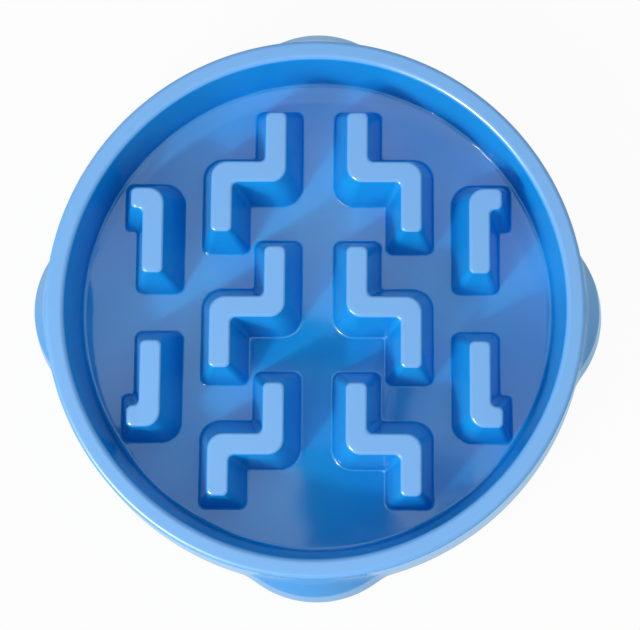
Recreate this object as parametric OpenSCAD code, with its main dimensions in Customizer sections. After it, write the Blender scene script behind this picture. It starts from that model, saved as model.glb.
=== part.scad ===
// Slow feeder bowl: a round pet bowl with ten ridges moulded into its floor, standing on four rubber pads.
// The origin is on the ground under the middle of the bowl. +Z is up and -Y is the front.

/* [Bowl] */
// Height from the ground to the top of the rim
overall_h = 44; // [42:0.5:60]
// Diameter over the rim
rim_d = 217; // [215:1:280]
// Width of the rim, from the mouth to the outer edge
rim_w = 7.9; // [7.1:0.1:8.5]
// Height from the ground to the floor inside
floor_up = 10.4; // [9:0.1:14]
// Wall thickness of the moulding
wall_t = 2.5; // [1.8:0.1:3]
// Lean of the inner wall, in degrees from upright
wall_draft = 2.4; // [1:0.1:3]
// Lean of the outer skirt, which widens towards its foot, in degrees from upright
skirt_draft = 7.5; // [2:0.1:11]
// Rounding of the rim's outer edge
rim_outer_round = 2; // [1.4:0.1:4.6]
// Rounding of the rim's inner edge
rim_inner_round = 2.2; // [1:0.1:2.8]
// Rounding between the inner wall and the floor
floor_round = 1.7; // [0.8:0.1:4]

/* [Foot lobes] */
// How far each lobe stands out past the rim at its foot
lobe_reach = 12.5; // [8.5:0.5:16]
// Radius of a lobe's outline at its foot
lobe_r = 43; // [34:1:60]
// Lean of a lobe's lower side, in degrees from upright
lobe_draft = 11; // [3:0.1:16]
// Lean of a lobe's upper side, in degrees from upright
lobe_lean = 24; // [20:1:34]
// Rounding of a lobe's shoulder
lobe_round = 8; // [4:0.5:12]
// How far a lobe's upper side runs in under the rim's rounding
lobe_sink = 0.6; // [0.4:0.1:1]

/* [Ridges] */
// Height of the ridges above the floor
ridge_h = 26.5; // [18:0.5:32]
// Width of a ridge's top
ridge_top_w = 8.4; // [7.4:0.1:10]
// How much further out each side of a ridge stands at its foot
ridge_spread = 5.7; // [4:0.1:6]
// Rounding of the edges round a ridge's top
ridge_edge_round = 1.2; // [0.4:0.1:2]
// Rounding where a ridge meets the floor
ridge_foot_round = 1; // [0.4:0.1:2]
// Rounding of the outside of a bend, seen from above
bend_outer_round = 6.4; // [3:0.1:8]
// Rounding of the inside of a bend, seen from above
bend_inner_round = 2.4; // [1:0.1:4]
// Rounding of the corners at an arm's end, seen from above
arm_end_round = 2.4; // [1:0.1:3]

/* [Ridge layout] */
// Width of the lane along the middle, at the floor
centre_lane = 13.6; // [10:0.1:14]
// Sideways step of a Z ridge, between the middles of its two arms
z_step = 22.1; // [19:0.1:22.5]
// Width of the lane between a Z ridge and a side ridge, at the floor
side_lane = 8; // [6:0.1:8.4]
// Distance between the rows of Z ridges
row_pitch = 55.5; // [52:0.5:58]
// Length of a Z ridge's arm, from the middle of its crossbar
arm_l = 24.7; // [20:0.1:26]
// Length of the front row's lower arm, from the middle of its crossbar
front_arm_l = 20.6; // [16:0.1:24]
// Length of a side ridge
side_l = 34.9; // [28:0.1:35.5]
// Gap between the two side ridges on one side, at the top
side_gap = 27.6; // [20:0.1:28]
// How far a side ridge's hook reaches outwards
hook_reach = 4.9; // [3:0.1:5]

/* [Foot pads] */
// Thickness of a pad's flange, which lifts the bowl off the ground
pad_t = 2; // [1:0.1:3]
// Diameter of a pad's flange
pad_d = 20; // [16:0.5:21]
// Distance from a lobe's outermost edge to the middle of its pad
pad_inset = 15; // [13:0.5:17]
// Rounding of the pad's lower edge
pad_edge_round = 0.6; // [0.2:0.1:0.9]
// Diameter of a pad's stem
stem_d = 8; // [5:0.5:10]
// Length of a pad's stem
stem_l = 5.5; // [3:0.1:5.6]
// Radial clearance between a stem and its hole
stem_clearance = 0.1; // [0.05:0.05:0.3]
// Clearance over the end of a stem
stem_end_gap = 0.5; // [0.2:0.1:0.8]
// Diameter of the boss that holds a stem
boss_d = 15; // [13:0.5:16]
// How far a boss reaches up beside the wall, above the level of the floor
boss_rise = 3.6; // [1:0.1:8]

/* [Hidden] */
$fn = 96;

// Overrun of every cut
over = 1;
// Straight steps in the rounding of a lobe's shoulder
shoulder_steps = 4;
// Straight steps in each rounded corner of a ridge's outline, outside and in its core
corner_steps = 4;
core_corner_steps = 2;
// Steps in the rounding of a ridge's top edge and of its foot
edge_steps = 2;
foot_steps = 2;
// Shares of the spread by which corner roundings grow, or for inner bends shrink, towards the foot
bend_growth_share = 0.35;
end_growth_share = 0.15;
inner_growth_share = -0.15;
// Largest share of a side that one corner's rounding may use
corner_limit_share = 0.49;
// Share of the stem's radius that its lead-in chamfer takes off
stem_lead_share = 0.15;

bowl_blue = [0.12, 0.46, 0.86];
pad_grey = [0.2, 0.21, 0.23];

rim_r = rim_d / 2;
mouth_r = rim_r - rim_w;
floor_z = floor_up;
bowl_depth = overall_h - floor_z;
floor_r = mouth_r - bowl_depth * tan(wall_draft);
lobe_axis_r = rim_r + lobe_reach - lobe_r;
pad_axis_r = rim_r + lobe_reach - pad_inset;
hole_r = stem_d / 2 + stem_clearance;
hole_h = stem_l + stem_end_gap;
boss_h = floor_z - pad_t + boss_rise;

// Middle of the rim's outer rounding, as radius and height
rim_mid = [rim_r - rim_outer_round, overall_h - rim_outer_round];

// Height of the hollow under the rim, and of the part of it that a lobe adds
hollow_top = overall_h - wall_t;
lobe_hollow_top = hollow_top - lobe_sink;

ridge_half_w = ridge_top_w / 2;
ridge_lean = atan(ridge_spread / ridge_h);
upper_arm_x = centre_lane / 2 + ridge_spread + ridge_half_w;
lower_arm_x = upper_arm_x + z_step;
side_x = lower_arm_x + ridge_top_w + 2 * ridge_spread + side_lane;
side_near_y = side_gap / 2;
side_far_y = side_near_y + side_l;

// The rows of Z ridges from back to front: the crossbar's place, and the length of the lower arm
z_rows = [[row_pitch, arm_l], [0, arm_l], [-row_pitch, front_arm_l]];

// The unit vector at an angle, and the point where two lines meet.
// A line is [angle of its normal, distance from the origin along that normal].
function unit(angle) = [cos(angle), sin(angle)];
function line_at(point, angle) = [angle, point * unit(angle)];
function inward(line, distance) = [line[0], line[1] - distance];
function meet(a, b) =
    let (turn = sin(b[0] - a[0]))
    [(a[1] * sin(b[0]) - b[1] * sin(a[0])) / turn, (b[1] * cos(a[0]) - a[1] * cos(b[0])) / turn];

// The line of the skirt's side and the two lines of a lobe's side, drawn in by t.
// The skirt's is by radius and height, and a lobe's are by distance from its own axis and height.
function skirt_side(t) = line_at(rim_mid + (rim_outer_round - t) * unit(skirt_draft), skirt_draft);
function lobe_upper(t) =
    line_at(rim_mid - [lobe_axis_r, 0] + (rim_outer_round - lobe_sink - t) * unit(lobe_lean), lobe_lean);
function lobe_lower(t) = inward(line_at([lobe_r, pad_t], lobe_draft), t);

// Solid outline of the bowl without its lobes, as radius and height
module body_profile() {
    polygon([
        [0, pad_t],
        meet(skirt_side(0), [-90, -pad_t]),
        rim_mid + rim_outer_round * unit(skirt_draft),
        rim_mid,
        [rim_mid.x, overall_h],
        [0, overall_h]
    ]);
    translate(rim_mid) circle(r = rim_outer_round);
}

// The hollow inside the skirt, one wall thickness within it
module body_hollow_profile() {
    polygon([
        [0, pad_t - over],
        meet(skirt_side(wall_t), [-90, over - pad_t]),
        meet(skirt_side(wall_t), [90, hollow_top]),
        [0, hollow_top]
    ]);
}

// The side of one lobe about its own upright axis, drawn in by t, from foot_z up to top_z
module lobe_profile(t, foot_z, top_z) {
    shoulder = meet(inward(lobe_upper(t), lobe_round), inward(lobe_lower(t), lobe_round));
    polygon(concat(
        [[0, foot_z], meet(lobe_lower(t), [-90, -foot_z])],
        [for (k = [0 : shoulder_steps])
            shoulder + lobe_round * unit(lobe_draft + (lobe_lean - lobe_draft) * k / shoulder_steps)],
        [meet(lobe_upper(t), [90, top_z]), [0, top_z]]
    ));
}

// The space inside the bowl, as radius and height, with the rounded mouth and floor corner
module inside_profile() {
    wall = line_at([mouth_r, overall_h], -wall_draft);
    mouth_mid = meet(inward(wall, -rim_inner_round), [90, overall_h - rim_inner_round]);
    mouth_side = mouth_mid - rim_inner_round * unit(-wall_draft);
    floor_mid = meet(inward(wall, floor_round), [90, floor_z + floor_round]);
    floor_side = floor_mid + floor_round * unit(-wall_draft);
    difference() {
        union() {
            polygon([[0, floor_z], [floor_r, floor_z], [mouth_r, overall_h], [mouth_r, overall_h + over],
                [0, overall_h + over]]);
            difference() {
                polygon([mouth_side - [over, 0], mouth_side, mouth_mid, [mouth_mid.x, overall_h + over],
                    [mouth_r - over, overall_h + over]]);
                translate(mouth_mid) circle(r = rim_inner_round);
            }
        }
        difference() {
            polygon([[floor_mid.x, floor_z - over], [floor_r + over, floor_z - over], floor_side + [over, 0],
                floor_side, floor_mid]);
            translate(floor_mid) circle(r = floor_round);
        }
    }
}

// The pan: the inner wall and the floor with their full thickness, before its inside is cut out
module pan_profile() {
    outer_wall = inward(line_at([mouth_r, overall_h], -wall_draft), -wall_t);
    pan_top = overall_h - wall_t / 2;
    polygon([
        [0, floor_z - wall_t],
        meet(outer_wall, [90, floor_z - wall_t]),
        meet(outer_wall, [90, pan_top]),
        [0, pan_top]
    ]);
}

// Outline of a Z ridge's top, anticlockwise. Its crossbar is at y = 0 and its upper arm is nearer the middle.
function z_points(lower_l) = [
    [upper_arm_x - ridge_half_w, arm_l],
    [upper_arm_x - ridge_half_w, -ridge_half_w],
    [lower_arm_x - ridge_half_w, -ridge_half_w],
    [lower_arm_x - ridge_half_w, -lower_l],
    [lower_arm_x + ridge_half_w, -lower_l],
    [lower_arm_x + ridge_half_w, ridge_half_w],
    [upper_arm_x + ridge_half_w, ridge_half_w],
    [upper_arm_x + ridge_half_w, arm_l]
];
end_corner = [arm_end_round, end_growth_share];
bend_corner = [bend_outer_round, bend_growth_share];
inner_corner = [bend_inner_round, inner_growth_share];
z_corners = [
    end_corner, bend_corner, inner_corner, end_corner,
    end_corner, bend_corner, inner_corner, end_corner
];

// Outline of a back side ridge's top, anticlockwise from its near end, with its hook outwards at the far end
side_points = [
    [side_x + ridge_half_w, side_near_y],
    [side_x + ridge_half_w, side_far_y - ridge_top_w],
    [side_x + ridge_half_w + hook_reach, side_far_y - ridge_top_w],
    [side_x + ridge_half_w + hook_reach, side_far_y],
    [side_x - ridge_half_w, side_far_y],
    [side_x - ridge_half_w, side_near_y]
];
side_corners = [end_corner, inner_corner, end_corner, end_corner, bend_corner, end_corner];

// The outline moved outwards by g. Its sides are all parallel to X or Y.
function side_normal(p, q) = let (u = (q - p) / norm(q - p)) [u.y, -u.x];
function grown(points, g) =
    let (n = len(points))
    [for (i = [0 : n - 1])
        let (before = points[(i + n - 1) % n], here = points[i], after = points[(i + 1) % n])
        here + g * (side_normal(before, here) + side_normal(here, after))];

// The outline with each right-angled corner turned into an arc of the given radius
function rounded(points, radii, steps) =
    let (n = len(points))
    [for (i = [0 : n - 1])
        let (
            here = points[i],
            back = points[(i + n - 1) % n] - here,
            ahead = points[(i + 1) % n] - here,
            r = min(radii[i], corner_limit_share * min(norm(back), norm(ahead))),
            a = back / norm(back),
            b = ahead / norm(ahead)
        )
        for (k = [0 : steps])
            let (turn = 90 * k / steps)
            here + r * (a + b) - r * (b * cos(turn) + a * sin(turn))];

// One level of a ridge: its outline at height z, moved outwards by g
function level(points, corners, steps, g, z) =
    let (radii = [for (c = corners) c[0] + c[1] * g])
    [for (p = rounded(grown(points, g), radii, steps)) [p.x, p.y, z]];

// A closed solid through a list of levels that have as many points each. Its two ends are strips of quads
// across the ridge, so each outline starts and finishes at one of the ridge's two ends.
module loft(levels) {
    n = len(levels[0]);
    last = len(levels) - 1;
    sides = [for (j = [0 : last - 1], i = [0 : n - 1])
        let (a = j * n + i, b = j * n + (i + 1) % n)
        each [[a, a + n, b + n], [a, b + n, b]]];
    strip = [for (j = [0 : n / 2 - 2]) [j, j + 1, n - 2 - j, n - 1 - j]];
    top = [for (q = strip) [for (k = [3 : -1 : 0]) last * n + q[k]]];
    polyhedron(points = [for (l = levels) each l], faces = concat(strip, sides, top));
}

// The outside of a ridge: a rounded foot, leaning sides and a rounded top edge
module ridge(points, corners) {
    foot_g = ridge_spread + ridge_foot_round * (1 - sin(ridge_lean)) / cos(ridge_lean);
    edge_g = -ridge_edge_round * (1 - sin(ridge_lean)) / cos(ridge_lean);
    foot_levels = [for (k = [0 : foot_steps])
        let (turn = 90 - (90 - ridge_lean) * k / foot_steps)
        [foot_g - ridge_foot_round * cos(turn), ridge_foot_round * (1 - sin(turn))]];
    edge_levels = [for (k = [0 : edge_steps])
        let (turn = ridge_lean + (90 - ridge_lean) * k / edge_steps)
        [edge_g + ridge_edge_round * cos(turn), ridge_h - ridge_edge_round * (1 - sin(turn))]];
    profile = concat([[foot_g, -wall_t / 2]], foot_levels, edge_levels);
    loft([for (p = profile) level(points, corners, corner_steps, p[0], floor_z + p[1])]);
}

// The hollow under a ridge, which leaves one wall thickness all round
module ridge_core(points, corners) {
    drawn_in = wall_t / cos(ridge_lean);
    heights = [-wall_t - over, ridge_h - wall_t];
    loft([for (h = heights)
        level(points, corners, core_corner_steps, (ridge_h - h) * tan(ridge_lean) - drawn_in, floor_z + h)]);
}

// Runs its child at both sides of the middle
module both_sides() {
    children();
    mirror([1, 0, 0]) children();
}

module all_ridges() {
    both_sides() {
        for (row = z_rows) translate([0, row[0], 0]) ridge(z_points(row[1]), z_corners);
        ridge(side_points, side_corners);
        mirror([0, 1, 0]) ridge(side_points, side_corners);
    }
}

module all_cores() {
    both_sides() {
        for (row = z_rows) translate([0, row[0], 0]) ridge_core(z_points(row[1]), z_corners);
        ridge_core(side_points, side_corners);
        mirror([0, 1, 0]) ridge_core(side_points, side_corners);
    }
}

// Runs its child at each of the four lobes, at a distance from the middle
module at_lobes(distance) {
    for (angle = [-90, 0, 90, 180]) rotate([0, 0, angle]) translate([distance, 0, 0]) children();
}

// The outer shell: rim, skirt and lobes, open underneath
module outer_shell() {
    difference() {
        union() {
            rotate_extrude() body_profile();
            at_lobes(lobe_axis_r) rotate([0, 0, 180]) rotate_extrude() lobe_profile(0, pad_t, rim_mid.y);
        }
        rotate_extrude() body_hollow_profile();
        at_lobes(lobe_axis_r) rotate([0, 0, 180]) rotate_extrude()
            lobe_profile(wall_t, pad_t - over, lobe_hollow_top);
    }
}

module bowl() {
    color(bowl_blue) difference() {
        union() {
            difference() {
                union() {
                    outer_shell();
                    rotate_extrude() pan_profile();
                    at_lobes(pad_axis_r) translate([0, 0, pad_t]) cylinder(d = boss_d, h = boss_h);
                }
                rotate_extrude() inside_profile();
            }
            all_ridges();
        }
        all_cores();
        at_lobes(pad_axis_r) translate([0, 0, pad_t - over]) cylinder(r = hole_r, h = hole_h + over);
    }
}

// One rubber pad: a flange with a rounded lower edge, and a stem that pushes into the boss above it
module foot_pad(angle) {
    flange_r = pad_d / 2;
    stem_r = stem_d / 2;
    lead = stem_lead_share * stem_r;
    color(pad_grey) rotate([0, 0, angle]) translate([pad_axis_r, 0, 0]) {
        rotate_extrude() union() {
            polygon([[0, 0], [flange_r - pad_edge_round, 0], [flange_r - pad_edge_round, pad_edge_round],
                [flange_r, pad_edge_round], [flange_r, pad_t], [0, pad_t]]);
            translate([flange_r - pad_edge_round, pad_edge_round]) circle(r = pad_edge_round);
        }
        rotate_extrude() polygon([[0, pad_t - pad_edge_round], [stem_r, pad_t - pad_edge_round],
            [stem_r, pad_t + stem_l - lead], [stem_r - lead, pad_t + stem_l], [0, pad_t + stem_l]]);
    }
}

module foot_pad_front() { foot_pad(-90); }
module foot_pad_right() { foot_pad(0); }
module foot_pad_back() { foot_pad(90); }
module foot_pad_left() { foot_pad(180); }

bowl();
foot_pad_front();
foot_pad_right();
foot_pad_back();
foot_pad_left();
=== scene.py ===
"""Looks for the slow feeder bowl: a glossy blue moulding with ten ridges, on rubber pads.

The bowl's mesh is worked out in millimetres from the solid model's own sizes, and MM turns it into
metres. Materials, lights and the camera are in metres.
"""

from math import atan, cos, pi, radians, sin, sqrt, tan

import bmesh
import bpy
from mathutils import Matrix, Vector


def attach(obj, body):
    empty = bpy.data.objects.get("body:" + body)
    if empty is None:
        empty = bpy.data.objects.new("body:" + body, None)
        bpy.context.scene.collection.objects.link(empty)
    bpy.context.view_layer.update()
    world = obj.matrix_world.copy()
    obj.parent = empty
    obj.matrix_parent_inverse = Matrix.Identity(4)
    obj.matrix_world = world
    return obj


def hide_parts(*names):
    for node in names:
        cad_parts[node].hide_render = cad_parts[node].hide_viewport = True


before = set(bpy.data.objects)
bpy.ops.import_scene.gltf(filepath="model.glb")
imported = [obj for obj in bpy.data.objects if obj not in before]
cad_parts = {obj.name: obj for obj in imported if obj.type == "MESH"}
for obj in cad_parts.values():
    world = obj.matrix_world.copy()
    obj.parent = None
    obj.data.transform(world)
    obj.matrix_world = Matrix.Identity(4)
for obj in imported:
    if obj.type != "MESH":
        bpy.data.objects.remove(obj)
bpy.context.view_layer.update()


MM = 0.001

# Sizes of the body in millimetres, as in the solid model
TOP_Z = 44.0
PAD_T = 2.0
RIM_R = 108.5
RIM_W = 7.9
DEPTH = 33.6
WALL = 2.5
WALL_DRAFT = radians(2.4)
SKIRT_DRAFT = radians(7.5)
RIM_OUT = 2.0             # rounding of the rim's outer edge
RIM_IN = 2.2              # rounding of the rim's inner edge
FLOOR_ROUND = 1.7         # rounding between the inner wall and the floor

# Sizes of the lobes
LOBE_REACH = 12.5
LOBE_R = 43.0
LOBE_ROUND = 8.0
LOBE_SINK = 0.6
LOBE_LEAN = radians(24)
LOBE_DRAFT = radians(11)

# Sizes of the ridges
RIDGE_H = 26.5
RIDGE_W = 8.4
SPREAD = 5.7
EDGE_ROUND = 1.2
FOOT_ROUND = 1.0
BEND_OUT = 6.4
BEND_IN = 2.4
END_ROUND = 2.4

# Places of the ridges
LANE = 13.6
Z_STEP = 22.1
SIDE_LANE = 8.0
PITCH = 55.5
ARM = 24.7
FRONT_ARM = 20.6
SIDE_L = 34.9
SIDE_GAP = 27.6
HOOK = 4.9

# Sizes of the bosses that hold the pads' stems
BOSS_R = 7.5
BOSS_TOP = 14.0
HOLE_R = 4.1
HOLE_TOP = 8.0
PAD_INSET = 15.0

# Fine forms that the solid model lacks
FOOT_EDGE = 0.5           # rounding of the skirt's lower edge
LOBE_BLEND = 1.8          # widest blend between a lobe and the skirt
LOBE_BLEND_RISE = 0.7     # how fast the blend widens below the rim
LEAST_BLEND = 0.02        # a narrower blend is left out
PAN_EDGE = 1.0            # rounding of the pan's lower edge
PAN_EDGE_MID = 0.29       # how far in and up the middle of that rounding is

# How finely the shapes are divided
SEGMENTS = 720            # round the bowl
BOSS_SEGMENTS = 48        # round a boss or its hole
FLOOR_ARC_STEPS = 7
MOUTH_ARC_STEPS = 9
RIM_ARC_STEPS = 12
CORNER_STEPS = 9          # round a corner of a ridge's outline
CORE_STEPS = 4            # the same inside the hollow ridges
EDGE_STEPS = 6            # over the edge of a ridge's top
FOOT_STEPS = 6            # over the rounding at a ridge's foot
WALL_SHARES = (0.06, 0.3, 0.6, 0.94)  # rings on the straight part of the inner wall
SIDE_SHARES = (0.08, 0.5, 0.92)       # and on a ridge's side
PAN_HEIGHTS = (30, 18)    # rings on the outside of the pan
# Rings on the skirt, outside and in the cavity: closer below the rim and round the lobes' shoulders
OUTER_HEIGHTS = (42.0, 41.7, 41.4, 41.1, 40.8, 40.5, 40.2, 39.9, 39.6, 39.2, 38.7, 38.0,
                 37.2, 36.2, 35.0, 33.6, 32.0, 30.4, 29.0, 27.6, 26.4, 25.2, 24.1, 23.0,
                 21.9, 20.8, 19.8, 18.8, 17.6, 16.0, 13.0, 9.5, 6.0, PAD_T + FOOT_EDGE)
CAVITY_HEIGHTS = (6.0, 12.0, 15.0, 17.0, 18.5, 20.0, 21.5, 23.0, 25.0, 28.0, 31.0, 34.0,
                  36.5, 38.0, 39.0, 39.6, 40.2, 40.8, TOP_Z - WALL)

# Tolerances of the mesh in metres, and its shading
SAME_POINT = 1e-7         # points of a tool closer than this are one
SLIVER = 2e-6             # the same for the finished bowl
SHARP_ANGLE = radians(38)
FACE_WEIGHT = 80

# Values that follow from the sizes
MOUTH_R = RIM_R - RIM_W
FLOOR_Z = TOP_Z - DEPTH
UNDER_Z = FLOOR_Z - WALL
RIM_MID = (RIM_R - RIM_OUT, TOP_Z - RIM_OUT)
LOBE_AXIS = RIM_R + LOBE_REACH - LOBE_R
PAD_AXIS = RIM_R + LOBE_REACH - PAD_INSET
LEAN = atan(SPREAD / RIDGE_H)
HALF = RIDGE_W / 2
X_UP = LANE / 2 + SPREAD + HALF
X_LOW = X_UP + Z_STEP
X_SIDE = X_LOW + RIDGE_W + 2 * SPREAD + SIDE_LANE
Y_NEAR = SIDE_GAP / 2
Y_FAR = Y_NEAR + SIDE_L
DIRECTIONS = [2 * pi * i / SEGMENTS for i in range(SEGMENTS)]


# Outlines of the body

def meet(a, b):
    """The point where two lines meet. A line is (angle of its normal, distance along it)."""
    turn = sin(b[0] - a[0])
    x = (a[1] * sin(b[0]) - b[1] * sin(a[0])) / turn
    y = (b[1] * cos(a[0]) - a[1] * cos(b[0])) / turn
    return (x, y)


def line_at(point, angle):
    """The line through a point, square to a direction."""
    return (angle, point[0] * cos(angle) + point[1] * sin(angle))


def moved(line, distance):
    return (line[0], line[1] + distance)


def radius_on(line, z):
    return (line[1] - z * sin(line[0])) / cos(line[0])


def arc(mid, r, start, end, steps):
    """Points on an arc as radius and height, from one angle to another."""
    angles = [start + (end - start) * k / steps for k in range(steps + 1)]
    return [(mid[0] + r * cos(a), mid[1] + r * sin(a)) for a in angles]


def along(a, b, shares):
    """Points on the way from one point to another."""
    return [(a[0] + (b[0] - a[0]) * s, a[1] + (b[1] - a[1]) * s) for s in shares]


INNER_WALL = line_at((MOUTH_R, TOP_Z), -WALL_DRAFT)


def body_r(z, inset=0.0):
    """Radius of the rim and skirt at a height, drawn in by inset."""
    r = RIM_OUT - inset
    over = z - RIM_MID[1]
    if inset == 0 and over > r * sin(SKIRT_DRAFT):
        return RIM_MID[0] + sqrt(max(r * r - over * over, 0.0))
    return RIM_MID[0] - over * tan(SKIRT_DRAFT) + r / cos(SKIRT_DRAFT)


def lobe_r(z, inset=0.0):
    """Radius of a lobe about its own axis at a height, with its rounded shoulder."""
    top = (RIM_MID[0] - LOBE_AXIS, RIM_MID[1])
    reach = RIM_OUT - LOBE_SINK - inset
    upper = line_at((top[0] + reach * cos(LOBE_LEAN), top[1] + reach * sin(LOBE_LEAN)), LOBE_LEAN)
    lower = moved(line_at((LOBE_R, PAD_T), LOBE_DRAFT), -inset)
    mid = meet(moved(upper, -LOBE_ROUND), moved(lower, -LOBE_ROUND))
    if z > mid[1] + LOBE_ROUND * sin(LOBE_LEAN):
        return radius_on(upper, z)
    if z < mid[1] + LOBE_ROUND * sin(LOBE_DRAFT):
        return radius_on(lower, z)
    return mid[0] + sqrt(LOBE_ROUND ** 2 - (z - mid[1]) ** 2)


def shell_r(theta, z, inset=0.0):
    """Radius of the skirt with its lobes in one direction, with a soft hollow where they meet."""
    skirt = body_r(z, inset)
    width = min(LOBE_BLEND, (RIM_MID[1] - z) * LOBE_BLEND_RISE)
    if width <= LEAST_BLEND:
        return skirt
    off_lobe = (theta + pi / 4) % (pi / 2) - pi / 4
    under = lobe_r(z, inset) ** 2 - (LOBE_AXIS * sin(off_lobe)) ** 2
    if under <= 0:
        return skirt
    lobe = LOBE_AXIS * cos(off_lobe) + sqrt(under)
    share = min(max(0.5 + 0.5 * (lobe - skirt) / width, 0.0), 1.0)
    return skirt + (lobe - skirt) * share + width * share * (1 - share)


def round_ring(point):
    return [point] * SEGMENTS


def shell_ring(z, inset=0.0):
    return [(shell_r(t, z, inset), z) for t in DIRECTIONS]


def foot_ring(degrees, inset=0.0):
    """A ring of the skirt's rounded lower edge, on its outer side or, with an inset, its inner one."""
    turn = radians(degrees)
    drawn = FOOT_EDGE * (1 - cos(turn)) * (1 if inset else -1)
    z = PAD_T + FOOT_EDGE * (1 - sin(turn))
    return [(shell_r(t, PAD_T, inset) + drawn, z) for t in DIRECTIONS]


def mouth_points():
    """Points from the floor's edge up the inner wall and round the rim's inner edge."""
    floor_mid = meet(moved(INNER_WALL, -FLOOR_ROUND), (pi / 2, FLOOR_Z + FLOOR_ROUND))
    mouth_mid = meet(moved(INNER_WALL, RIM_IN), (pi / 2, TOP_Z - RIM_IN))
    floor_arc = arc(floor_mid, FLOOR_ROUND, -pi / 2, -WALL_DRAFT, FLOOR_ARC_STEPS)
    mouth_arc = arc(mouth_mid, RIM_IN, pi - WALL_DRAFT, pi / 2, MOUTH_ARC_STEPS)
    return floor_arc + along(floor_arc[-1], mouth_arc[0], WALL_SHARES) + mouth_arc


def pan_points():
    """Points down the outside of the pan, from the cavity's top to the underside."""
    pan_wall = moved(INNER_WALL, WALL)
    heights = (TOP_Z - WALL, *PAN_HEIGHTS, UNDER_Z + PAN_EDGE)
    foot = radius_on(pan_wall, UNDER_Z)
    points = [(radius_on(pan_wall, z), z) for z in heights]
    return points + [(foot - PAN_EDGE_MID, UNDER_Z + PAN_EDGE_MID), (foot - PAN_EDGE, UNDER_Z)]


def body_rings():
    """The rings of the body from the floor's edge over the rim to the underside's edge.

    Each is a list of (radius, height), one for each direction.
    """
    rings = [round_ring(p) for p in mouth_points()]
    rings += [round_ring(p) for p in arc(RIM_MID, RIM_OUT, pi / 2, SKIRT_DRAFT, RIM_ARC_STEPS)]
    rings += [shell_ring(z) for z in OUTER_HEIGHTS]
    rings += [foot_ring(degrees) for degrees in (30, 60, 90)]
    rings += [foot_ring(degrees, WALL) for degrees in (90, 60, 30, 0)]
    rings += [shell_ring(z, WALL) for z in CAVITY_HEIGHTS]
    rings += [round_ring(p) for p in pan_points()]
    return rings


# Outlines of the ridges

# A corner's rounding at the ridge's top, and how much it grows with each millimetre outwards
END = (END_ROUND, 0.15)
BEND = (BEND_OUT, 0.35)
INNER = (BEND_IN, -0.15)
WIDEST_SHARE = 0.49       # of a side that a corner's rounding may take


def z_outline(lower):
    points = [(X_UP - HALF, ARM), (X_UP - HALF, -HALF), (X_LOW - HALF, -HALF), (X_LOW - HALF, -lower),
              (X_LOW + HALF, -lower), (X_LOW + HALF, HALF), (X_UP + HALF, HALF), (X_UP + HALF, ARM)]
    return points, [END, BEND, INNER, END, END, BEND, INNER, END]


def side_outline():
    inner, outer = X_SIDE - HALF, X_SIDE + HALF
    points = [(outer, Y_NEAR), (outer, Y_FAR - RIDGE_W), (outer + HOOK, Y_FAR - RIDGE_W),
              (outer + HOOK, Y_FAR), (inner, Y_FAR), (inner, Y_NEAR)]
    return points, [END, INNER, END, END, BEND, END]


def grown_outline(points, outwards):
    """The corners of an outline after all its sides have moved outwards."""
    corners = [Vector(p) for p in points]
    grown = []
    for i, here in enumerate(corners):
        before = (here - corners[i - 1]).normalized()
        after = (corners[(i + 1) % len(corners)] - here).normalized()
        grown.append(here + outwards * (Vector((before.y, -before.x)) + Vector((after.y, -after.x))))
    return grown


def rounded_outline(points, rounding, steps, outwards):
    """The outline moved outwards, with its corners rounded."""
    grown = grown_outline(points, outwards)
    out = []
    for i, here in enumerate(grown):
        back = grown[i - 1] - here
        ahead = grown[(i + 1) % len(grown)] - here
        wanted = rounding[i][0] + rounding[i][1] * outwards
        r = min(wanted, WIDEST_SHARE * min(back.length, ahead.length))
        a, b = back.normalized(), ahead.normalized()
        for k in range(steps + 1):
            turn = pi / 2 * k / steps
            out.append(here + r * (a + b) - r * (b * cos(turn) + a * sin(turn)))
    return out


def ridge_places():
    """(outline, rounding, x scale, y scale, y shift) of the ten ridges."""
    places = []
    for sx in (1, -1):
        for y, lower in ((PITCH, ARM), (0.0, ARM), (-PITCH, FRONT_ARM)):
            places.append((*z_outline(lower), sx, 1, y))
        for sy in (1, -1):
            places.append((*side_outline(), sx, sy, 0.0))
    return places


def ridge_profile():
    """(outward move, height over the floor) from a ridge's foot to its top."""
    foot_g = SPREAD + FOOT_ROUND * (1 - sin(LEAN)) / cos(LEAN)
    edge_g = -EDGE_ROUND * (1 - sin(LEAN)) / cos(LEAN)
    foot_turns = [pi / 2 - (pi / 2 - LEAN) * k / FOOT_STEPS for k in range(FOOT_STEPS + 1)]
    edge_turns = [LEAN + (pi / 2 - LEAN) * k / EDGE_STEPS for k in range(EDGE_STEPS + 1)]
    foot = [(foot_g - FOOT_ROUND * cos(t), FOOT_ROUND * (1 - sin(t))) for t in foot_turns]
    edge = [(edge_g + EDGE_ROUND * cos(t), RIDGE_H - EDGE_ROUND * (1 - sin(t))) for t in edge_turns]
    return foot + along(foot[-1], edge[0], SIDE_SHARES) + edge


def core_profile():
    """The same for the hollow inside a ridge."""
    drawn = WALL / cos(LEAN)
    return [((RIDGE_H - h) * tan(LEAN) - drawn, h) for h in (-WALL, RIDGE_H - WALL)]


# The bowl's mesh

def ring_of(bm, points):
    return [bm.verts.new((x * MM, y * MM, z * MM)) for x, y, z in points]


def bridge(bm, rings):
    """Joins each ring to the next with quads."""
    for low, high in zip(rings, rings[1:]):
        for i in range(len(low)):
            after = (i + 1) % len(low)
            bm.faces.new((low[i], low[after], high[after], high[i]))


def closed_edges(bm, ring):
    found = []
    for i, v in enumerate(ring):
        w = ring[(i + 1) % len(ring)]
        found.append(bm.edges.get((v, w)) or bm.edges.new((v, w)))
    return found


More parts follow.
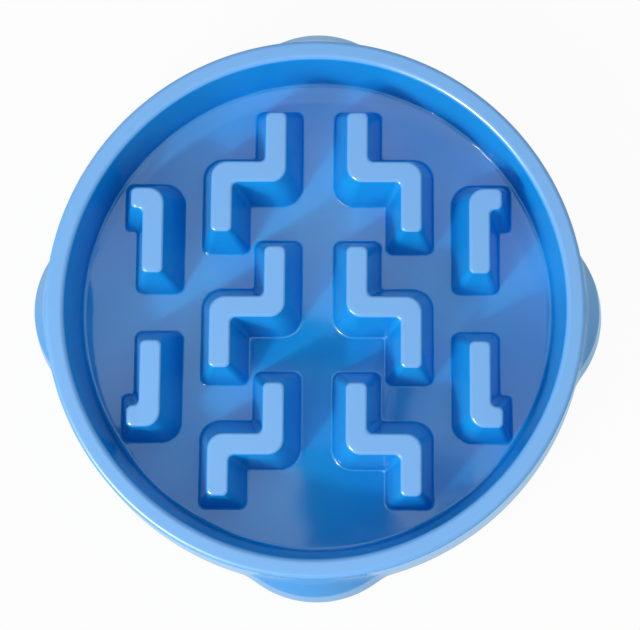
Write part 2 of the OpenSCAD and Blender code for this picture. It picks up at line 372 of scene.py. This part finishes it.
def strip_cap(bm, ring):
    """Closes a ridge's top with quads across it."""
    n = len(ring)
    for j in range(n // 2 - 1):
        bm.faces.new((ring[j], ring[j + 1], ring[n - 2 - j], ring[n - 1 - j]))


def add_ridges(bm, profile, steps):
    """Adds the ten ridges or their hollow insides, and returns their lowest rings."""
    lowest = []
    for points, rounding, sx, sy, dy in ridge_places():
        rings = []
        for outwards, h in profile:
            flat = rounded_outline(points, rounding, steps, outwards)
            rings.append(ring_of(bm, [(sx * p.x, sy * p.y + dy, FLOOR_Z + h) for p in flat]))
        bridge(bm, rings)
        strip_cap(bm, rings[-1])
        lowest.append(rings[0])
    return lowest


def fill_between(bm, outer, holes):
    edges = closed_edges(bm, outer)
    for hole in holes:
        edges += closed_edges(bm, hole)
    bmesh.ops.triangle_fill(bm, use_beauty=True, use_dissolve=False, edges=edges)


def make_object(name, bm):
    mesh = bpy.data.meshes.new(name)
    bm.to_mesh(mesh)
    bm.free()
    obj = bpy.data.objects.new(name, mesh)
    bpy.context.scene.collection.objects.link(obj)
    return obj


def bowl_object():
    """The moulding without its bosses."""
    bm = bmesh.new()
    rings = []
    for ring in body_rings():
        points = [(r * cos(t), r * sin(t), z) for (r, z), t in zip(ring, DIRECTIONS)]
        rings.append(ring_of(bm, points))
    bridge(bm, rings)
    fill_between(bm, rings[0], add_ridges(bm, ridge_profile(), CORNER_STEPS))
    fill_between(bm, rings[-1], add_ridges(bm, core_profile(), CORE_STEPS))
    bmesh.ops.recalc_face_normals(bm, faces=bm.faces)
    return make_object("feeder_bowl", bm)


def stack(bm, levels):
    """A closed solid through outlines at rising heights."""
    rings = [ring_of(bm, [(x, y, z) for x, y in outline]) for outline, z in levels]
    bridge(bm, rings)
    bm.faces.new(list(reversed(rings[0])))
    bm.faces.new(rings[-1])


def round_outline(angle, radius, least_x=None):
    """A circle at a pad's place, cut off at a least distance from the bowl's middle."""
    points = []
    for i in range(BOSS_SEGMENTS):
        turn = 2 * pi * i / BOSS_SEGMENTS
        x, y = PAD_AXIS + radius * cos(turn), radius * sin(turn)
        if least_x:
            x = max(x, least_x)
        points.append((x * cos(angle) - y * sin(angle), x * sin(angle) + y * cos(angle)))
    return points


def boss_levels(angle):
    """A boss is a full cylinder under the floor, and higher up ends inside the inner wall."""
    shelf = UNDER_Z + WALL / 2
    whole, cut = round_outline(angle, BOSS_R), round_outline(angle, BOSS_R, MOUTH_R)
    return [(whole, PAD_T), (whole, shelf), (cut, shelf), (cut, BOSS_TOP)]


def hole_levels(angle):
    below = PAD_T - 1
    outline = round_outline(angle, HOLE_R)
    return [(outline, below), (outline, HOLE_TOP)]


def tool_object(name, solids):
    bm = bmesh.new()
    for levels in solids:
        stack(bm, levels)
    bmesh.ops.remove_doubles(bm, verts=bm.verts, dist=SAME_POINT)
    bmesh.ops.recalc_face_normals(bm, faces=bm.faces)
    return make_object(name, bm)


def bake(obj):
    """Replaces the object's mesh by what its modifiers make of it."""
    depsgraph = bpy.context.evaluated_depsgraph_get()
    made = bpy.data.meshes.new_from_object(obj.evaluated_get(depsgraph), depsgraph=depsgraph)
    old = obj.data
    obj.modifiers.clear()
    obj.data = made
    bpy.data.meshes.remove(old)
    made.name = obj.name


def merge_slivers(obj):
    bm = bmesh.new()
    bm.from_mesh(obj.data)
    bmesh.ops.remove_doubles(bm, verts=bm.verts, dist=SLIVER)
    bmesh.ops.dissolve_degenerate(bm, edges=bm.edges, dist=SLIVER)
    bm.to_mesh(obj.data)
    bm.free()


def add_bosses(obj):
    """Joins the four stem bosses to the bowl and bores their holes."""
    angles = [0, pi / 2, pi, -pi / 2]
    tools = [("UNION", tool_object("tool_boss", [boss_levels(a) for a in angles])),
             ("DIFFERENCE", tool_object("tool_hole", [hole_levels(a) for a in angles]))]
    for kind, tool in tools:
        cut = obj.modifiers.new(kind, "BOOLEAN")
        cut.operation = kind
        cut.object = tool
        cut.solver = "MANIFOLD"
    bake(obj)
    for _, tool in tools:
        bpy.data.objects.remove(tool)
    merge_slivers(obj)


def smooth(obj):
    """Smooth shading with sharp edges kept, and flat faces that stay flat beside their roundings."""
    obj.data.polygons.foreach_set("use_smooth", [True] * len(obj.data.polygons))
    obj.data.set_sharp_from_angle(angle=SHARP_ANGLE)
    weighted = obj.modifiers.new("normals", "WEIGHTED_NORMAL")
    weighted.keep_sharp = True
    weighted.weight = FACE_WEIGHT
    bake(obj)


bowl = bowl_object()
add_bosses(bowl)
smooth(bowl)


# Materials

class Nodes:
    """Short calls for building a node tree."""

    def __init__(self, tree):
        self.tree = tree

    def add(self, kind, inputs=(), **settings):
        """A new node with its settings, and its inputs set to values or linked to sockets."""
        node = self.tree.nodes.new(kind)
        for key, value in settings.items():
            setattr(node, key, value)
        for key, value in dict(inputs).items():
            self.put(node.inputs[key], value)
        return node

    def put(self, socket, value):
        if isinstance(value, bpy.types.NodeSocket):
            self.tree.links.new(value, socket)
        else:
            socket.default_value = value

    def math(self, operation, a, b):
        return self.add("ShaderNodeMath", {0: a, 1: b}, operation=operation).outputs[0]

    def times(self, a, b):
        return self.math("MULTIPLY", a, b)

    def plus(self, a, b):
        return self.math("ADD", a, b)

    def vector(self, operation, *values):
        """A vector node with its first inputs."""
        return self.add("ShaderNodeVectorMath", dict(enumerate(values)), operation=operation)

    def split(self, vector):
        """The X, Y and Z of a vector."""
        return self.add("ShaderNodeSeparateXYZ", {"Vector": vector}).outputs

    def mix(self, factor, a, b):
        """A colour between two. The node lists its sockets for every type, the colours' as 6 and 7."""
        return self.add("ShaderNodeMix", {0: factor, 6: a, 7: b}, data_type="RGBA").outputs[2]

    def between(self, value, low, high, out_low=0.0, out_high=1.0):
        """A smooth step from one value to another."""
        ends = {"Value": value, "From Min": low, "From Max": high, "To Min": out_low, "To Max": out_high}
        return self.add("ShaderNodeMapRange", ends, interpolation_type="SMOOTHSTEP").outputs["Result"]

    def noise(self, coords, scale, detail):
        inputs = {"Vector": coords, "Scale": scale, "Detail": detail}
        return self.add("ShaderNodeTexNoise", inputs).outputs["Fac"]

    def coords(self):
        return self.add("ShaderNodeTexCoord").outputs["Object"]

    def end_in(self, shader, kind="ShaderNodeOutputMaterial"):
        self.add(kind, {"Surface": shader.outputs[0]})


def new_material(name):
    mat = bpy.data.materials.new(name)
    mat.use_nodes = True
    mat.node_tree.nodes.clear()
    return mat, Nodes(mat.node_tree)


# Colours of the plastic
BLUE_DEEP = (0.007, 0.287, 0.71, 1)
BLUE_CLEAR = (0.010, 0.318, 0.77, 1)
# painted shade: the outside of the same moulding, painted darker
BLUE_SKIRT_SHADED = (0.0075, 0.245, 0.66, 1)
# painted light: the bowl's floor, painted lighter than the walls of the same moulding
BLUE_FLOOR_LIT = (0.010, 0.355, 0.82, 1)
# painted sheen: the paler colour of upward faces on the rim and ridge tops stands in for the light they
# mirror
BLUE_PAINTED_SHEEN = (0.143, 0.405, 0.83, 1)

# Each zone of the plastic is given by where it begins and where it is complete
HIGH_ZONE = (0.0335, 0.0362)      # heights above the ground
RIM_ZONE = (0.038, 0.040)
FLOOR_ZONE = (0.0112, 0.0106)
INSIDE_ZONE = (0.104, 0.103)      # distances from the bowl's axis
WALL_ZONE = (0.0980, 0.0986)
SKIRT_SHADE_ZONE = (0.1076, 0.1088)
BACK_ZONE = (0.0, 0.03)           # distances behind the middle
SHEEN_TILT = (0.3, 0.7)            # upward parts of the normal
STEEP_TILT = (0.6, 0.25)
RIDGE_MATT_TILT = 0.9             # a ridge's rounded edge is polished up to here
RIM_MATT_TILT = 0.68              # and the rim's up to here

# Finish of the plastic
COLOR_SPAN = (0.3, 0.7)           # part of the cloudy noise's range that changes the colour
FINISH_SPAN = (0.25, 0.75)        # and the part that changes the roughness
POLISHED = (0.035, 0.06)          # least and most roughness from it
MATT_ROUGH = 0.33                 # what a matted top adds
WALL_ROUGH = 0.08                 # what the bowl's walls add
GRAIN_ROUGH = 0.03                # what the fine noise adds at most
SPECULAR = 0.5
STEEP_LOSS = (0.25, 0.46)         # what steep faces lose of that, outside and inside the bowl

# The floor's slight upturn, as height in metres by distance past its start
UPTURN_START = 0.090
UPTURN_RATE = 6.5


def plastic_material():
    mat, n = new_material("glossy_blue_plastic")
    coords = n.coords()
    place = n.split(coords)
    facing = n.split(n.add("ShaderNodeNewGeometry").outputs["Normal"])["Z"]
    level = n.vector("MULTIPLY", coords, (1.0, 1.0, 0.0)).outputs["Vector"]
    radius = n.vector("LENGTH", level).outputs["Value"]

    cloud = n.noise(coords, scale=26.0, detail=3.0)
    fine = n.noise(coords, scale=900.0, detail=2.0)
    wave = n.noise(coords, scale=34.0, detail=1.0)

    # the rim and the ridges' tops have a finely matted skin, and their upward faces are painted paler: a
    # painted sheen of the light from above
    high = n.between(place["Z"], *HIGH_ZONE)
    painted_sheen = n.times(high, n.between(facing, *SHEEN_TILT))
    matt_tilt = n.between(place["Z"], *RIM_ZONE, RIDGE_MATT_TILT, RIM_MATT_TILT)
    matted = n.times(high, n.between(facing, matt_tilt, 1.0))
    # the bowl's own walls are a little less polished than the ridges' sides
    steep = n.between(facing, *STEEP_TILT)
    inside_bowl = n.between(radius, *INSIDE_ZONE)
    wall = n.times(n.times(n.between(radius, *WALL_ZONE), inside_bowl), steep)
    on_floor = n.times(n.between(place["Z"], *FLOOR_ZONE), inside_bowl)

    # the skirt and its lobes are painted a little darker than the inside, a painted shade on the same
    # moulding
    base = n.mix(n.between(cloud, *COLOR_SPAN), BLUE_DEEP, BLUE_CLEAR)
    base = n.mix(n.between(radius, *SKIRT_SHADE_ZONE), base, BLUE_SKIRT_SHADED)
    # painted light: the bowl's floor is painted lighter than its walls
    base = n.mix(on_floor, base, BLUE_FLOOR_LIT)
    # painted sheen on the upward faces of the rim and the ridges' tops
    base = n.mix(painted_sheen, base, BLUE_PAINTED_SHEEN)
    rough = n.plus(n.between(cloud, *FINISH_SPAN, *POLISHED), n.times(matted, MATT_ROUGH))
    rough = n.plus(rough, n.times(wall, WALL_ROUGH))
    rough = n.plus(rough, n.times(fine, GRAIN_ROUGH))

    bump_wave = n.add("ShaderNodeBump", {"Strength": 0.35, "Distance": 0.0004, "Height": wave})
    bump_fine = n.add("ShaderNodeBump", {"Strength": 0.05, "Distance": 0.0001, "Height": fine,
                                         "Normal": bump_wave.outputs["Normal"]})
    # the back half of the floor turns up very slightly towards the wall, so it doesn't mirror the wall
    past = n.math("MAXIMUM", n.math("SUBTRACT", radius, UPTURN_START), 0.0)
    rise = n.times(n.times(past, past), UPTURN_RATE)
    at_back = n.times(on_floor, n.between(place["Y"], *BACK_ZONE))
    bump_rise = n.add("ShaderNodeBump", {"Strength": 1.0, "Distance": 1.0, "Height": n.times(rise, at_back),
                                         "Normal": bump_fine.outputs["Normal"]})
    # steep faces mirror less, most of all inside the bowl
    loss = n.between(inside_bowl, 0.0, 1.0, *STEEP_LOSS)
    mirror = n.math("SUBTRACT", SPECULAR, n.times(steep, loss))
    shader = n.add("ShaderNodeBsdfPrincipled", {"Base Color": base, "Roughness": rough, "IOR": 1.55,
                                                "Specular IOR Level": mirror,
                                                "Normal": bump_rise.outputs["Normal"]})
    n.end_in(shader)
    return mat


RUBBER_DARK = (0.030, 0.032, 0.038, 1)
RUBBER_WORN = (0.044, 0.046, 0.053, 1)
RUBBER_SPAN = (0.2, 0.8)
RUBBER_ROUGH = (0.7, 0.86)


def rubber_material():
    mat, n = new_material("matt_grey_rubber")
    coords = n.coords()
    cloud = n.noise(coords, scale=180.0, detail=4.0)
    grain = n.noise(coords, scale=2600.0, detail=2.0)
    base = n.mix(cloud, RUBBER_DARK, RUBBER_WORN)
    rough = n.between(cloud, *RUBBER_SPAN, *RUBBER_ROUGH)
    bump = n.add("ShaderNodeBump", {"Strength": 0.3, "Distance": 0.00012, "Height": grain})
    shader = n.add("ShaderNodeBsdfPrincipled", {"Base Color": base, "Roughness": rough, "IOR": 1.5,
                                                "Normal": bump.outputs["Normal"]})
    n.end_in(shader)
    return mat


def dress(obj, material):
    obj.data.materials.clear()
    obj.data.materials.append(material)


RUBBER = rubber_material()
dress(bowl, plastic_material())
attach(bowl, "root")
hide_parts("bowl")
for side in ("front", "right", "back", "left"):
    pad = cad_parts["foot_pad_" + side]
    dress(pad, RUBBER)


# Floor and surroundings

WHITE = (1, 1, 1, 1)
FLOOR_HALF = 1.6
FLOOR_GAP = 0.00005       # under the pads, so that their faces don't flicker with the floor
FLOOR_GREYS = ((0.58, 0.58, 0.58, 1), (0.62, 0.62, 0.62, 1))
SEEN_GLOW = 0.95          # share of plain white that the eye sees, and the rest keeps the shadow
MIRRORED_GLOW = 0.6       # the same in what the plastic mirrors
MIRRORED_WHITE = (0.60, 0.90, 1.12, 1)

CARD_Z = 0.9
CARD_HALF = 0.5
CARD_TINT = (0.87, 1, 0.96, 1)
BLOTCH_SPAN = (0.35, 0.65)
CARD_GLOW = (1.3, 2.0)
CARD_WARP = 0.06          # the width over which the patches' edges are bent
# Dark parts of what the bowl's floor mirrors: least and largest x and y on the card, and depth
DARK_PATCHES = ((-0.096, 0.039, 0.040, 0.088, 1.0),
                (-0.057, -0.002, -0.045, 0.050, 0.75),
                (-0.047, 0.049, -0.135, -0.039, 1.0),
                (0.039, 0.062, -0.039, 0.047, 1.0),
                (0.084, 0.130, -0.090, -0.044, 0.6))
DARK_SOFT = 0.006
BRIGHT_PATCH = (-0.08, 0.03, 0.10, 0.28)
BRIGHT_SOFT = 0.03
BRIGHT_GAIN = 0.6


def square_object(name, half):
    bm = bmesh.new()
    corners = ((-1, -1), (1, -1), (1, 1), (-1, 1))
    bm.faces.new([bm.verts.new((x * half, y * half, 0.0)) for x, y in corners])
    return make_object(name, bm)


def floor_material():
    """White to the eye, and a cool white in what the blue plastic mirrors."""
    mat, n = new_material("pale_floor")
    speck = n.noise(n.coords(), scale=60.0, detail=3.0)
    base = n.mix(speck, *FLOOR_GREYS)
    matt = n.add("ShaderNodeBsdfPrincipled", {"Base Color": base, "Roughness": 0.9,
                                              "Specular IOR Level": 0.0})
    ray = n.add("ShaderNodeLightPath").outputs
    seen = n.math("MAXIMUM", ray["Is Camera Ray"], ray["Is Transmission Ray"])
    share = n.plus(n.times(seen, SEEN_GLOW), n.times(ray["Is Glossy Ray"], MIRRORED_GLOW))
    color = n.mix(ray["Is Glossy Ray"], WHITE, MIRRORED_WHITE)
    glow = n.add("ShaderNodeEmission", {"Color": color, "Strength": 1.0})
    n.end_in(n.add("ShaderNodeMixShader", {0: share, 1: matt.outputs[0], 2: glow.outputs[0]}))
    return mat


def add_floor():
    floor = square_object("studio_floor", FLOOR_HALF)
    floor.location.z = -FLOOR_GAP
    dress(floor, floor_material())


def inside(n, at, patch, soft):
    """1 inside a rectangle on the card, with soft edges."""
    x0, x1, y0, y1 = patch
    share = n.times(n.between(at["X"], x0 - soft, x0 + soft), n.between(at["X"], x1 + soft, x1 - soft))
    share = n.times(share, n.between(at["Y"], y0 - soft, y0 + soft))
    return n.times(share, n.between(at["Y"], y1 + soft, y1 - soft))


def card_material():
    mat, n = new_material("ceiling_glow")
    coords = n.coords()
    warp = n.add("ShaderNodeTexNoise", {"Vector": coords, "Scale": 9.0, "Detail": 2.0})
    bent = n.vector("MULTIPLY_ADD", warp.outputs["Color"], (CARD_WARP, CARD_WARP, 0.0), coords)
    centred = n.vector("SUBTRACT", bent.outputs["Vector"], (CARD_WARP / 2, CARD_WARP / 2, 0.0))
    at = n.split(centred.outputs["Vector"])

    dark = 0.0
    for *patch, depth in DARK_PATCHES:
        dark = n.math("MAXIMUM", n.times(inside(n, at, patch, DARK_SOFT), depth), dark)
    blotch = n.between(n.noise(coords, scale=5.0, detail=2.0), *BLOTCH_SPAN, *CARD_GLOW)
    blotch = n.plus(blotch, n.times(inside(n, at, BRIGHT_PATCH, BRIGHT_SOFT), BRIGHT_GAIN))
    strength = n.times(blotch, n.math("SUBTRACT", 1.0, dark))
    n.end_in(n.add("ShaderNodeEmission", {"Color": CARD_TINT, "Strength": strength}))
    return mat


def add_ceiling_card():
    """The room over the bowl as its polished floor mirrors it: pale blotches and a few dark patches.

    Only mirror rays see the card, so it adds no light.
    """
    card = square_object("ceiling_card", CARD_HALF)
    card.location = (0.0, 0.0, CARD_Z)
    dress(card, card_material())
    for ray in ("camera", "diffuse", "transmission", "volume_scatter", "shadow"):
        setattr(card, "visible_" + ray, False)


# Light and camera

WORLD_LIGHT = 0.57
LAMP_TARGET = (0, 0, 0.02)
KEY_PLACE = (-1.05, -1.1, 0.88)
GLINT_PLACE = (-0.68, -0.64, 0.72)

# The camera as fitted to the photograph: place, turns in radians, and lens
CAMERA_PLACE = (0.0203072, -0.0676012, 0.640028)
CAMERA_PITCH = 0.109
CAMERA_YAW = 0.004
CAMERA_ROLL = 0.004
SENSOR_WIDTH = 36.0
LENS = 84.375
SHIFT = (-0.0620, -0.0072)
CLIP_START = 0.01


def add_world(strength):
    """White to the eye and in mirrors, and a dimmer white as light."""
    world = bpy.data.worlds.new("soft_white")
    bpy.context.scene.world = world
    world.use_nodes = True
    world.node_tree.nodes.clear()
    n = Nodes(world.node_tree)
    ray = n.add("ShaderNodeLightPath").outputs
    seen = n.math("MAXIMUM", ray["Is Camera Ray"], ray["Is Glossy Ray"])
    seen = n.math("MAXIMUM", seen, ray["Is Transmission Ray"])
    light = n.plus(n.times(seen, 1.0 - strength), strength)
    n.end_in(n.add("ShaderNodeBackground", {"Color": WHITE, "Strength": light}), "ShaderNodeOutputWorld")


def add_softbox(name, place, size, watts, mirror_only=False):
    lamp = bpy.data.lights.new(name, "AREA")
    lamp.shape = "RECTANGLE"
    lamp.size, lamp.size_y = size
    lamp.energy = watts
    obj = bpy.data.objects.new(name, lamp)
    bpy.context.scene.collection.objects.link(obj)
    obj.location = place
    obj.rotation_euler = (Vector(LAMP_TARGET) - Vector(place)).to_track_quat("-Z", "Y").to_euler()
    obj.visible_diffuse = not mirror_only


def add_camera():
    data = bpy.data.cameras.new("view")
    data.sensor_width = SENSOR_WIDTH
    data.lens = LENS
    data.shift_x, data.shift_y = SHIFT
    data.clip_start = CLIP_START
    camera = bpy.data.objects.new("view", data)
    bpy.context.scene.collection.objects.link(camera)
    turn = Matrix.Rotation(CAMERA_PITCH, 4, "X")
    turn = turn @ Matrix.Rotation(CAMERA_YAW, 4, "Y")
    turn = turn @ Matrix.Rotation(CAMERA_ROLL, 4, "Z")
    camera.matrix_world = Matrix.Translation(CAMERA_PLACE) @ turn
    bpy.context.scene.camera = camera


add_floor()
add_ceiling_card()
add_world(WORLD_LIGHT)
add_softbox("key_front_left", KEY_PLACE, size=(1.2, 0.7), watts=17.6)
add_softbox("glint_front_left", GLINT_PLACE, size=(0.10, 0.10), watts=3.2)
# a wider one that only mirror rays see, for the glints on the roundings
add_softbox("glint_wide", GLINT_PLACE, size=(0.28, 0.28), watts=16.0, mirror_only=True)
add_camera()
bpy.context.scene.view_settings.view_transform = "Standard"
